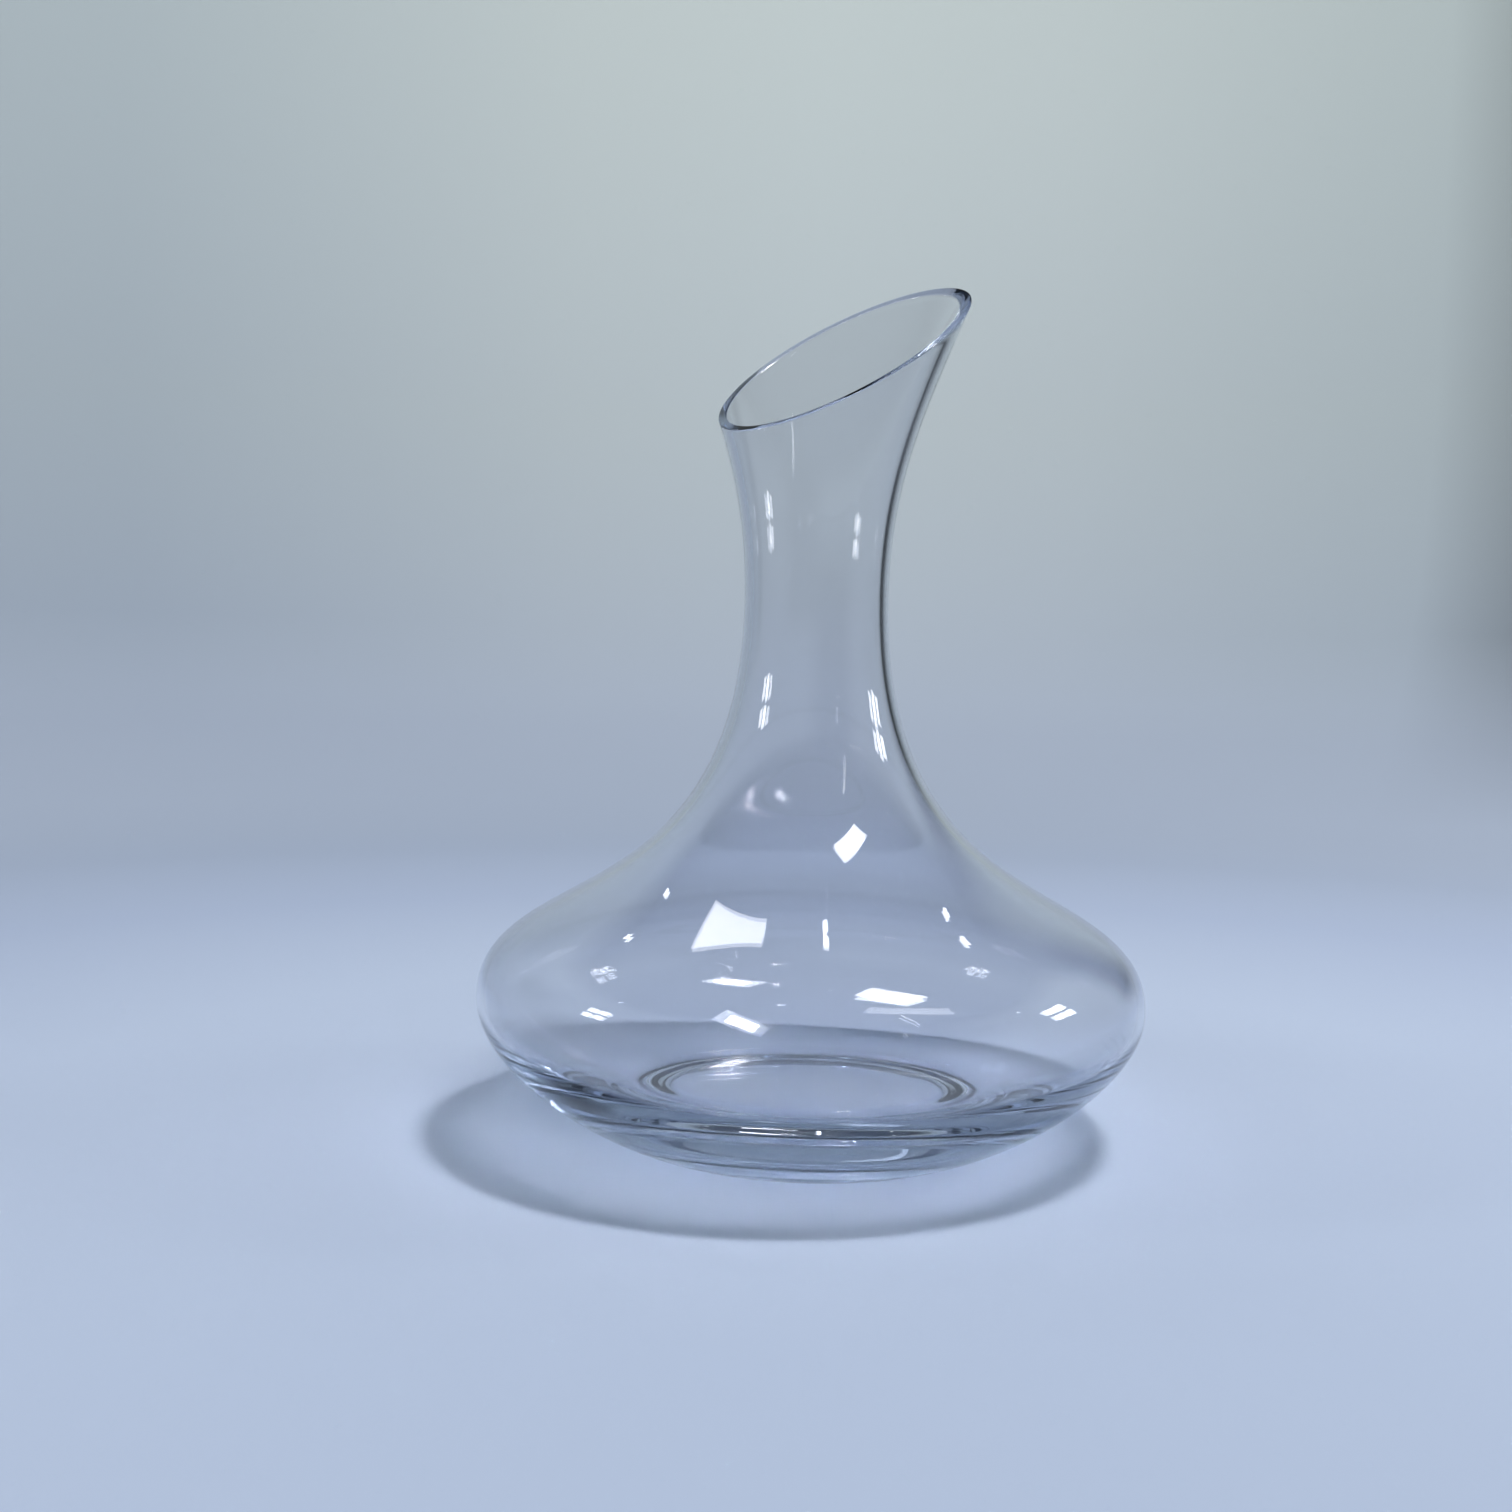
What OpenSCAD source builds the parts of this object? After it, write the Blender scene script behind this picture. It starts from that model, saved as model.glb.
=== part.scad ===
// Wine decanter: one piece of clear blown glass, hollow from the mouth to the floor of the bowl.
// A wide low bowl sweeps up into a slim neck, the neck flares to a mouth cut off on a slant, and the
// high side of the slant is the pouring lip, towards +X. Origin: centre of the standing ring, on the
// table. +Z up, all in mm.

/* [Bowl] */
// Widest outside diameter of the bowl
bowl_d = 200; // [190:1:210]
// Height of the widest point above the table
bowl_z = 42; // [40:1:46]
// How upright the bowl stays above its widest point
bowl_rise = 37; // [34:1:40]
// How upright the bowl stays below its widest point
bowl_fall = 21; // [19:1:23]

/* [Neck] */
// Outside diameter at the narrowest point of the neck
neck_d = 43.4; // [42:0.2:50]
// Height of the narrowest point above the table
neck_z = 161; // [156:1:166]
// How far the upright run of the neck carries down into the shoulder
neck_drop = 98; // [92:1:102]

/* [Mouth] */
// Outside diameter of the flare at flare_z
flare_d = 98.4; // [90:0.2:104]
// Height at which the flare diameter is measured
flare_z = 262; // [256:1:268]
// Lean of the flare away from upright at flare_z, in degrees
flare_lean = 19; // [16:1:22]
// Height of the slanted mouth on the axis
mouth_z = 228; // [218:1:236]
// Slant of the mouth, in degrees from level
mouth_slant = 35; // [25:1:38]

/* [Base] */
// Outside diameter of the flat standing ring
ring_d = 107; // [104:1:109]
// Width of the flat standing ring
ring_w = 2; // [1.5:0.5:3]
// Height of the push-up under the base
punt_h = 5; // [4:0.5:6]
// Height of the flat floor inside the bowl
floor_z = 11; // [10:0.5:12]
// Diameter of the flat floor, where it turns up into the bowl
floor_d = 102; // [98:1:104]

/* [Glass] */
// Wall of the neck and bowl
wall = 2.5; // [2.2:0.1:3]
// Wall at the mouth, where the edge is fire polished
lip_wall = 3; // [2.6:0.1:3.4]

/* [Hidden] */
$fn = 144;
bowl_r = bowl_d / 2;
neck_r = neck_d / 2;
flare_r = flare_d / 2;
ring_r = ring_d / 2;
floor_r = floor_d / 2;
flare_up = [sin(flare_lean), cos(flare_lean)];
spare = 24;
big = 4 * bowl_d;

// Point and direction on a smooth curve from a to d that leaves towards b and arrives from c
function curve(a, b, c, d, t) =
    pow(1 - t, 3) * a + 3 * pow(1 - t, 2) * t * b + 3 * (1 - t) * t * t * c + t * t * t * d;
function heading(a, b, c, d, t) =
    pow(1 - t, 2) * (b - a) + 2 * (1 - t) * t * (c - b) + t * t * (d - c);
// Point a depth w inside the outer face
function inside(p, h, w) = p + w * [-h[1], h[0]] / norm(h);

// Outer face: push-up, heel, shoulder and flare
punt = [
    [ring_r - 13.5, punt_h], [ring_r - 7.5, punt_h],
    [ring_r - ring_w - 6, 0], [ring_r - ring_w, 0]
];
heel = [[ring_r, 0], [ring_r + 8, 0], [bowl_r, bowl_z - bowl_fall], [bowl_r, bowl_z]];
shoulder = [
    [bowl_r, bowl_z], [bowl_r, bowl_z + bowl_rise],
    [neck_r, neck_z - neck_drop], [neck_r, neck_z]
];
flare = [
    [neck_r, neck_z], [neck_r, neck_z + 44],
    [flare_r, flare_z] - 34.5 * flare_up, [flare_r, flare_z]
];

// Inner face of the heavy heel, from the edge of the flat floor up to the widest point
well = [
    [floor_r, floor_z], [floor_r + 6, floor_z],
    [bowl_r - wall, bowl_z - bowl_fall], [bowl_r - wall, bowl_z]
];

function along(k, t) = curve(k[0], k[1], k[2], k[3], t);
function run(k, n, first = 0) = [for (i = [first:n]) along(k, i / n)];
function lined(k, n, w0, w1, first = 0) = [
    for (i = [first:n])
        inside(along(k, i / n), heading(k[0], k[1], k[2], k[3], i / n), w0 + (w1 - w0) * i / n)
];
function backwards(v) = [for (i = [len(v) - 1:-1:0]) v[i]];

top_out = [flare_r, flare_z] + spare * flare_up;
top_in = inside(top_out, flare_up, lip_wall);

outer_face = concat(
    [[0, punt_h]], run(punt, 8), run(heel, 18), run(shoulder, 28, 1), run(flare, 16, 1), [top_out]
);
inner_face = concat(
    [[0, floor_z]], run(well, 18),
    lined(shoulder, 28, wall, wall, 1), lined(flare, 16, wall, lip_wall, 1), [top_in]
);

// The whole vessel: blown wall with its heavy base, cut off on the slant of the mouth
module decanter() {
    color([0.80, 0.88, 0.90, 0.35])
    difference() {
        rotate_extrude()
        polygon(concat(outer_face, backwards(inner_face)));
        translate([0, 0, mouth_z])
        rotate([0, -mouth_slant, 0])
        translate([-big / 2, -big / 2, 0])
        cube([big, big, big]);
    }
}

decanter();
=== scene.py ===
# Wine decanter in clear blown glass: one vessel, with a camera, a pale light tent and studio lamps.
# Metres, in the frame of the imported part: origin in the middle of the standing ring, +Z up, lip to +X.
import math

import bmesh
import bpy
from mathutils import Matrix, Quaternion, Vector


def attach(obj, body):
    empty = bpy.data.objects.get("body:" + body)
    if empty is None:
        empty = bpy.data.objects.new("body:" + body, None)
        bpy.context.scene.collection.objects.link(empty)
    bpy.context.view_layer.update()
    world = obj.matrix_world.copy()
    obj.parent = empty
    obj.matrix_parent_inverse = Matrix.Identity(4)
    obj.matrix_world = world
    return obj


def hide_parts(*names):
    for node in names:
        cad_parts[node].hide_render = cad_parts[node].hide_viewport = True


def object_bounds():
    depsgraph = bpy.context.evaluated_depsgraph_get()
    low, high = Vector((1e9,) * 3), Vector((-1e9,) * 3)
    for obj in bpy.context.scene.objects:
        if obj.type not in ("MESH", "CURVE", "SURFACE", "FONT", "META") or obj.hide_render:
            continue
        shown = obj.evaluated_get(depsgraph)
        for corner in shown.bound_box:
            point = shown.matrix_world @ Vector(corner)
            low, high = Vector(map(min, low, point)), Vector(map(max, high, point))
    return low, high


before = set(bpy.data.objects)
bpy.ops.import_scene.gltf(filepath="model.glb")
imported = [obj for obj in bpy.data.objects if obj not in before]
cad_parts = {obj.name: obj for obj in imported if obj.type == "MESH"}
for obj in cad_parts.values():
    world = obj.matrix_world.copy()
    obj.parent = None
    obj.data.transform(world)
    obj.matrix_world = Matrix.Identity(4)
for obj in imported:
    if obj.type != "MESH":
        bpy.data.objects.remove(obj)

cad_low, cad_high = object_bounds()


# The camera: held just above half height, close to the decanter, with the pouring lip to the right and
# away. Its lens is a little wide, it looks slightly down and left, and it is tilted by about a degree.
MM = 0.001
CAMERA_AWAY = 460 * MM
CAMERA_HEIGHT = 135 * MM
CAMERA_SIDE = -48.5
CAMERA_LEFT = 2.16
CAMERA_DOWN = 2.73
CAMERA_ROLL = 1.08
LENS = 36.1


def ground_direction(side):
    """Level direction from the decanter, side degrees round from -Y towards +X."""
    return Vector((math.sin(math.radians(side)), -math.cos(math.radians(side)), 0))


lens = bpy.data.cameras.new("camera")
lens.lens = LENS
lens.sensor_width = 36
lens.clip_start = 0.01
lens.clip_end = 20
camera = bpy.data.objects.new("camera", lens)
bpy.context.scene.collection.objects.link(camera)
camera.location = ground_direction(CAMERA_SIDE) * CAMERA_AWAY + Vector((0, 0, CAMERA_HEIGHT))
looking = -ground_direction(CAMERA_SIDE)
looking.rotate(Quaternion((0, 0, 1), math.radians(CAMERA_LEFT)))
down = math.radians(CAMERA_DOWN)
looking = looking * math.cos(down) - Vector((0, 0, math.sin(down)))
camera.rotation_mode = "QUATERNION"
tilt = Quaternion((0, 0, 1), math.radians(CAMERA_ROLL))
camera.rotation_quaternion = looking.to_track_quat("-Z", "Y") @ tilt
bpy.context.scene.camera = camera


# The vessel: one piece of soda-lime glass, blown into a wide bowl with a long neck, pressed up at the
# base, cut off on a slant at the mouth and polished there. The wall is 2.5 mm, the base much heavier.
BOWL_R = min(cad_high.y, -cad_low.y, cad_high.x, -cad_low.x)
BOWL_Z = 42 * MM
BOWL_RISE = 37 * MM
BOWL_FALL = 21 * MM
NECK_R = 21.7 * MM
NECK_Z = 161 * MM
NECK_DROP = 98 * MM
NECK_RUN = 44 * MM
FLARE_R = 49.2 * MM
FLARE_Z = 262 * MM
FLARE_LEAN = math.radians(19)
FLARE_RUN = 34.5 * MM
MOUTH_Z = 228 * MM
MOUTH_SLANT = math.radians(35)
RING_R = 53.5 * MM
RING_W = 2 * MM
PUNT_R = RING_R - 13.5 * MM
PUNT_H = 5 * MM
PUNT_EASE = 6 * MM
HEEL_EASE = 8 * MM
FLOOR_R = 51 * MM
FLOOR_Z = 11 * MM
FLOOR_EASE = 6 * MM
WALL = 2.5 * MM
LIP_WALL = 3 * MM
LIP_ROUND = 0.5 * MM
WAVES_PER_METRE = 14
GLASS_IOR = 1.52
DEPTH_TINT = (0.3, 0.43, 0.64, 1)
AROUND = 264
HALVINGS = 40
FLARE_STEPS = 40
LIP_STEPS = 6


def curve(a, b, c, d, t):
    """Point on a smooth curve from a to d that leaves towards b and arrives from c."""
    return (1 - t) ** 3 * a + 3 * (1 - t) ** 2 * t * b + 3 * (1 - t) * t ** 2 * c + t ** 3 * d


def heading(a, b, c, d, t):
    """Unit direction of that curve."""
    return ((1 - t) ** 2 * (b - a) + 2 * (1 - t) * t * (c - b) + t ** 2 * (d - c)).normalized()


def at(r, z):
    """Point of the section, r out from the axis and z up."""
    return Vector((r, 0, z))


def inward(direction):
    """Direction from the outer face to the inner one, square to a direction along the wall."""
    return Vector((-direction.z, 0, direction.x))


flare_up = at(math.sin(FLARE_LEAN), math.cos(FLARE_LEAN))
PUNT = (
    at(PUNT_R, PUNT_H),
    at(PUNT_R + PUNT_EASE, PUNT_H),
    at(RING_R - RING_W - PUNT_EASE, 0),
    at(RING_R - RING_W, 0),
)
HEEL = (
    at(RING_R, 0),
    at(RING_R + HEEL_EASE, 0),
    at(BOWL_R, BOWL_Z - BOWL_FALL),
    at(BOWL_R, BOWL_Z),
)
SHOULDER = (
    at(BOWL_R, BOWL_Z),
    at(BOWL_R, BOWL_Z + BOWL_RISE),
    at(NECK_R, NECK_Z - NECK_DROP),
    at(NECK_R, NECK_Z),
)
FLARE = (
    at(NECK_R, NECK_Z),
    at(NECK_R, NECK_Z + NECK_RUN),
    at(FLARE_R, FLARE_Z) - FLARE_RUN * flare_up,
    at(FLARE_R, FLARE_Z),
)
WELL = (
    at(FLOOR_R, FLOOR_Z),
    at(FLOOR_R + FLOOR_EASE, FLOOR_Z),
    at(BOWL_R - WALL, BOWL_Z - BOWL_FALL),
    at(BOWL_R - WALL, BOWL_Z),
)


def steps(first, last, count):
    """Values from first to last in count equal steps."""
    return [first + (last - first) * i / count for i in range(count + 1)]


def wall_point(t, depth):
    """Point a share t along the flare, depth inside its outer face; past its end the wall runs straight."""
    if t <= 1:
        return curve(*FLARE, t) + depth * inward(heading(*FLARE, t))
    beyond = (t - 1) * FLARE_RUN * 3
    return curve(*FLARE, 1) + depth * inward(flare_up) + beyond * flare_up


def flare_depth(t, lining):
    """Depth of the outer face (lining 0) or the inner face (lining 1) of the flare."""
    return lining * (WALL + (LIP_WALL - WALL) * min(t, 1))


def above_cut(point, turn):
    """How far a profile point, turned round the axis, stands above the slanted cut of the mouth."""
    return (point.z - MOUTH_Z) * math.cos(MOUTH_SLANT) - point.x * math.cos(turn) * math.sin(MOUTH_SLANT)


def cut_at(turn, lining, height):
    """Share along the flare at which the wall stands height above the cut, found by halving."""
    low, high = 0.2, 1.4
    for _ in range(HALVINGS):
        middle = (low + high) / 2
        if above_cut(wall_point(middle, flare_depth(middle, lining)), turn) < height:
            low = middle
        else:
            high = middle
    return low


def fixed_profile():
    """Outer face from the middle of the base up to the neck, and inner face the same way."""
    outer = [at(r, PUNT_H) for r in steps(0, PUNT_R, 6)]
    outer += [curve(*PUNT, t) for t in steps(0, 1, 20)[1:]]
    outer += [at(RING_R - RING_W / 2, 0)]
    outer += [curve(*HEEL, t) for t in steps(0, 1, 40)]
    outer += [curve(*SHOULDER, t) for t in steps(0, 1, 70)[1:]]
    inner = [at(r, FLOOR_Z) for r in steps(0, FLOOR_R, 8)]
    inner += [curve(*WELL, t) for t in steps(0, 1, 40)[1:]]
    inner += [curve(*SHOULDER, t) + WALL * inward(heading(*SHOULDER, t)) for t in steps(0, 1, 70)[1:]]
    return outer, inner


outer_face, inner_face = fixed_profile()


def full_profile(turn):
    """Section of the wall at one turn about the axis, from the middle of the base to that of the floor."""
    out_end = cut_at(turn, 0, -LIP_ROUND)
    in_end = cut_at(turn, 1, -LIP_ROUND)
    out_edge = wall_point(cut_at(turn, 0, 0), 0)
    in_cut = cut_at(turn, 1, 0)
    in_edge = wall_point(in_cut, flare_depth(in_cut, 1))
    across = (in_edge - out_edge).normalized()
    outer = [wall_point(t, 0) for t in steps(0, out_end, FLARE_STEPS)[1:]]
    inner = [wall_point(t, flare_depth(t, 1)) for t in steps(0, in_end, FLARE_STEPS)[1:]]
    rim = []
    for start, edge, end in (
        (outer[-1], out_edge, out_edge + LIP_ROUND * across),
        (in_edge - LIP_ROUND * across, in_edge, inner[-1]),
    ):
        for t in steps(0, 1, LIP_STEPS):
            rim.append((1 - t) ** 2 * start + 2 * (1 - t) * t * edge + t ** 2 * end)
    first, last = rim[1:LIP_STEPS + 1], rim[LIP_STEPS + 1:-1]
    rim = first + [first[-1].lerp(last[0], share) for share in (0.25, 0.5, 0.75)] + last
    return outer_face + outer + rim + inner[::-1] + inner_face[::-1]


def blown_vessel():
    """Turns the section round the axis into one closed mesh."""
    shape = bmesh.new()
    rows = []
    foot = shape.verts.new(at(0, PUNT_H))
    top = shape.verts.new(at(0, FLOOR_Z))
    for step in range(AROUND):
        turn = 2 * math.pi * step / AROUND
        spin = Matrix.Rotation(turn, 3, "Z")
        profile = full_profile(turn)[1:-1]
        rows.append([shape.verts.new(spin @ point) for point in profile])
    for step in range(AROUND):
        here, there = rows[step], rows[(step + 1) % AROUND]
        shape.faces.new((foot, there[0], here[0]))
        for i in range(len(here) - 1):
            shape.faces.new((here[i], there[i], there[i + 1], here[i + 1]))
        shape.faces.new((top, here[-1], there[-1]))
    bmesh.ops.recalc_face_normals(shape, faces=shape.faces)
    mesh = bpy.data.meshes.new("decanter_glass")
    shape.to_mesh(mesh)
    shape.free()
    mesh.shade_smooth()
    return mesh


def linear(hex_colour):
    """Linear colour from an sRGB hex value such as "#c8d0d8"."""
    shares = [int(hex_colour[i:i + 2], 16) / 255 for i in (1, 3, 5)]
    return tuple(s / 12.92 if s <= 0.04045 else ((s + 0.055) / 1.055) ** 2.4 for s in shares) + (1,)


def add_node(tree, kind, settings, links):
    """Adds a node: settings are its properties or input values, links feed its inputs from outputs."""
    made = tree.nodes.new(kind)
    for name, value in settings.items():
        if isinstance(name, str) and hasattr(made, name):
            setattr(made, name, value)
        else:
            made.inputs[name].default_value = value
    for name, output in links.items():
        tree.links.new(output, made.inputs[name])
    return made


def new_material(name):
    """An empty node material and its tree."""
    material = bpy.data.materials.new(name)
    material.use_nodes = True
    material.node_tree.nodes.clear()
    return material, material.node_tree


def blown_glass():
    """Clear soda-lime glass, blown and fire polished: no tooth at all, slow waves that bend the highlights,
    and a faint slate blue that only shows where the eye looks along the glass, at the heel and the rim."""
    material, tree = new_material("clear blown glass, fire polished")
    place = add_node(tree, "ShaderNodeTexCoord", {}, {})
    waves = add_node(
        tree,
        "ShaderNodeTexNoise",
        {"Scale": WAVES_PER_METRE, "Detail": 1},
        {"Vector": place.outputs["Object"]},
    )
    bump = add_node(
        tree,
        "ShaderNodeBump",
        {"Strength": 0.05, "Distance": 0.4 * MM},
        {"Height": waves.outputs["Fac"]},
    )
    glass = add_node(
        tree,
        "ShaderNodeBsdfPrincipled",
        {"Base Color": linear("#f5f6f9"), "Roughness": 0.0, "IOR": GLASS_IOR, "Transmission Weight": 1.0},
        {"Normal": bump.outputs["Normal"]},
    )
    depth = add_node(tree, "ShaderNodeVolumeAbsorption", {"Color": DEPTH_TINT, "Density": 7}, {})
    add_node(
        tree,
        "ShaderNodeOutputMaterial",
        {},
        {"Surface": glass.outputs["BSDF"], "Volume": depth.outputs["Volume"]},
    )
    return material


vessel = bpy.data.objects.new("decanter_glass", blown_vessel())
bpy.context.scene.collection.objects.link(vessel)
vessel.data.materials.append(blown_glass())
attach(vessel, "root")
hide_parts("decanter")


# The tent: a pale floor that sweeps up into a round wall of white cloth, lit evenly from outside, so the
# glass stands in front of a soft light ground. The cloth carries painted shade at the front right, and a
# narrow
# band of painted shade at the back right: this painted shade draws the dark lines along the edges of the
# glass.
FLOOR_FLAT = 0.9
COVE_R = 0.6
TENT_H = 1.5
TENT_AROUND = 120

# Paint and glow run from the middle of the floor (0) to the top of the wall (1). The painted shade goes
# round the wall, in degrees from the camera towards the right.
# Near the top of the wall both the paint and the glow fall to dark: painted shade standing for the dim room
# above.
PAINT = (
    (0.0, "#d3e0f3"),
    (0.09, "#d3e0f3"),
    (0.17, "#c6d3e9"),
    (0.43, "#b9c3cf"),
    (0.65, "#c0c8c0"),
    (0.86, "#c0c8c0"),
    (1.0, "#3a3e42"),
)
GLOW = (
    (0.0, "#000000"),
    (0.26, "#1c1f24"),
    (0.46, "#686d78"),
    (0.67, "#81868f"),
    (0.86, "#9aa0a0"),
    (1.0, "#101214"),
)
# Painted shade round the wall: dark bands at the front right and at the back right, near white elsewhere.
PAINTED_SHADE_ROUND = (
    (-180, "#ffffff"),
    (-168, "#fbfbfb"),
    (-148, "#e6e9ee"),
    (-16, "#e6e9ee"),
    (14, "#3a3d42"),
    (42, "#3a3d42"),
    (68, "#f0f0f0"),
    (122, "#f0f0f0"),
    (133, "#202429"),
    (140, "#202429"),
    (152, "#eceeee"),
    (168, "#fbfbfb"),
    (180, "#ffffff"),
)


def tent_mesh():
    """Floor, cove and wall, turned so that -Y of the tent points to the camera."""
    shape = bmesh.new()
    section = [at(r, 0) for r in steps(0.02, FLOOR_FLAT, 12)]
    section += [
        at(FLOOR_FLAT + COVE_R * math.sin(a), COVE_R - COVE_R * math.cos(a))
        for a in steps(0, math.pi / 2, 24)[1:]
    ]
    section += [at(FLOOR_FLAT + COVE_R, z) for z in steps(COVE_R, TENT_H, 12)[1:]]
    middle = shape.verts.new((0, 0, 0))
    rows = []
    for step in range(TENT_AROUND):
        spin = Matrix.Rotation(2 * math.pi * step / TENT_AROUND, 3, "Z")
        rows.append([shape.verts.new(spin @ point) for point in section])
    for step in range(TENT_AROUND):
        here, there = rows[step], rows[(step + 1) % TENT_AROUND]
        shape.faces.new((middle, here[0], there[0]))
        for i in range(len(here) - 1):
            shape.faces.new((here[i], here[i + 1], there[i + 1], there[i]))
    mesh = bpy.data.meshes.new("tent")
    shape.to_mesh(mesh)
    shape.free()
    mesh.shade_smooth()
    return mesh


def ramp(node, stops):
    """Sets the colours of a colour ramp at places from 0 to 1."""
    elements = node.color_ramp.elements
    while len(elements) < len(stops):
        elements.new(0.5)
    for element, (place, hex_colour) in zip(elements, stops):
        element.position = place
        element.color = linear(hex_colour)


def tent_cloth():
    """Matt white cloth: it takes the lamps, glows with light from behind, and is darkened by painted shade
    in bands round the wall.
    """
    material, tree = new_material("white tent cloth")
    place = add_node(tree, "ShaderNodeTexCoord", {}, {})
    split = add_node(tree, "ShaderNodeSeparateXYZ", {}, {"Vector": place.outputs["Object"]})
    level = {"operation": "MULTIPLY", 1: (1, 1, 0)}
    flat = add_node(tree, "ShaderNodeVectorMath", level, {0: place.outputs["Object"]})
    out = add_node(tree, "ShaderNodeVectorMath", {"operation": "LENGTH"}, {0: flat.outputs["Vector"]})
    both_ways = {0: out.outputs["Value"], 1: split.outputs["Z"]}
    run = add_node(tree, "ShaderNodeMath", {"operation": "ADD"}, both_ways)
    whole = {"From Max": FLOOR_FLAT + COVE_R + TENT_H}
    along = add_node(tree, "ShaderNodeMapRange", whole, {"Value": run.outputs["Value"]})
    paint = add_node(tree, "ShaderNodeValToRGB", {}, {"Fac": along.outputs["Result"]})
    ramp(paint, PAINT)
    glow = add_node(tree, "ShaderNodeValToRGB", {}, {"Fac": along.outputs["Result"]})
    ramp(glow, GLOW)
    front = add_node(tree, "ShaderNodeMath", {"operation": "MULTIPLY", 1: -1}, {0: split.outputs["Y"]})
    sideways = {0: split.outputs["X"], 1: front.outputs["Value"]}
    side = add_node(tree, "ShaderNodeMath", {"operation": "ARCTAN2"}, sideways)
    circle = {"From Min": -math.pi, "From Max": math.pi}
    round_share = add_node(tree, "ShaderNodeMapRange", circle, {"Value": side.outputs["Value"]})
    # Painted shade by the side of the wall, read from the ramp of dark bands.
    painted_shade_ramp = add_node(tree, "ShaderNodeValToRGB", {}, {"Fac": round_share.outputs["Result"]})
    ramp(painted_shade_ramp, [((degrees + 180) / 360, hex_colour) for degrees, hex_colour in PAINTED_SHADE_ROUND])
    foot = {"From Min": 0.02, "From Max": 0.2}
    upright = add_node(tree, "ShaderNodeMapRange", foot, {"Value": split.outputs["Z"]})
    # The painted shade lies on the wall only, and fades out towards the floor.
    shade = add_node(
        tree,
        "ShaderNodeMix",
        {"data_type": "RGBA", 6: (1, 1, 1, 1)},
        {0: upright.outputs["Result"], 7: painted_shade_ramp.outputs["Color"]},
    )
    # Both the paint and the glow are multiplied by the painted shade.
    shaded = []
    for tone in (paint, glow):
        shaded.append(
            add_node(
                tree,
                "ShaderNodeMix",
                {"data_type": "RGBA", "blend_type": "MULTIPLY", 0: 1.0},
                {6: tone.outputs["Color"], 7: shade.outputs[2]},
            )
        )
    cloth = add_node(tree, "ShaderNodeBsdfDiffuse", {"Roughness": 0.5}, {"Color": shaded[0].outputs[2]})
    light = add_node(tree, "ShaderNodeEmission", {"Strength": 1.0}, {"Color": shaded[1].outputs[2]})
    parts = {0: cloth.outputs["BSDF"], 1: light.outputs["Emission"]}
    both = add_node(tree, "ShaderNodeAddShader", {}, parts)
    add_node(tree, "ShaderNodeOutputMaterial", {}, {"Surface": both.outputs["Shader"]})
    return material


tent = bpy.data.objects.new("tent", tent_mesh())
bpy.context.scene.collection.objects.link(tent)
tent.rotation_euler = (0, 0, math.radians(CAMERA_SIDE))
tent.data.materials.append(tent_cloth())


# The lamps: a small soft key lamp high on the right, a panel and small lamps overhead behind, a window
# of four panes on each side, and a thin tube lamp. They light the room and draw the highlights.
LOOK_AT = Vector((0, 0, 0.1))


def lamp(name, side, up, away, width, height, brightness, colour="#ffffff", turn=0, shift=(0, 0)):
    """A rectangular soft lamp aimed at the decanter, side degrees from the camera towards the right."""
    light = bpy.data.lights.new(name, "AREA")
    light.shape = "RECTANGLE"
    light.size = width
    light.size_y = height
    light.energy = brightness * math.pi * width * height
    light.color = linear(colour)[:3]
    shown = bpy.data.objects.new(name, light)
    bpy.context.scene.collection.objects.link(shown)
    level = ground_direction(CAMERA_SIDE + side)
    where = level * math.cos(math.radians(up)) + Vector((0, 0, math.sin(math.radians(up))))
    spin = Quaternion((0, 0, 1), math.radians(turn))
    shown.rotation_mode = "QUATERNION"
    shown.rotation_quaternion = (-where).to_track_quat("-Z", "Y") @ spin
    shown.location = LOOK_AT + where * away + shown.rotation_quaternion @ Vector((shift[0], shift[1], 0))
    shown.visible_camera = False


def window(name, side, up, away, width, height, brightness):
    """Four lit panes with a cross of glazing bars between them."""
    pane = (width * 0.42, height * 0.42)
    for column in (-1, 1):
        for row in (-1, 1):
            shift = (column * width * 0.29, row * height * 0.29)
            lamp(f"{name}_{column}_{row}", side, up, away, *pane, brightness, shift=shift)


lamp("key", 71, 71, 1.6, 0.14, 0.24, 106, "#f8f7ff")
lamp("key_shade", 71, 71, 1.58, 0.24, 0.4, 14)
lamp("panel", -152, 62, 1.6, 0.19, 0.34, 5, turn=45)
lamp("back_a", 170, 70, 1.6, 0.03, 0.03, 16)
lamp("back_b", 141, 49, 1.6, 0.03, 0.03, 10)
lamp("back_c", -140, 44, 1.6, 0.03, 0.03, 10)
window("window_left", -75, 21, 1.35, 0.2, 0.24, 12)
window("window_right", 95, 22, 1.35, 0.22, 0.28, 12)
lamp("tube", 42, 46, 1.3, 0.012, 0.3, 12)
lamp("hook", 33, 28, 1.3, 0.012, 0.1, 10)

# The room outside the tent is dim. Light is followed through many passes of glass, because the heavy heel
# traps it, and it is neither clamped nor blurred, so the floor under the glass keeps its light.
GLASS_PASSES = 48
world = bpy.data.worlds.new("room")
world.use_nodes = True
world.node_tree.nodes["Background"].inputs["Color"].default_value = linear("#8fa3bd")
world.node_tree.nodes["Background"].inputs["Strength"].default_value = 0.15
bpy.context.scene.world = world
bpy.context.scene.view_settings.view_transform = "Standard"
bpy.context.scene.cycles.blur_glossy = 0
bpy.context.scene.cycles.sample_clamp_indirect = 0
bpy.context.scene.cycles.max_bounces = GLASS_PASSES
bpy.context.scene.cycles.transmission_bounces = GLASS_PASSES
bpy.context.scene.cycles.glossy_bounces = GLASS_PASSES
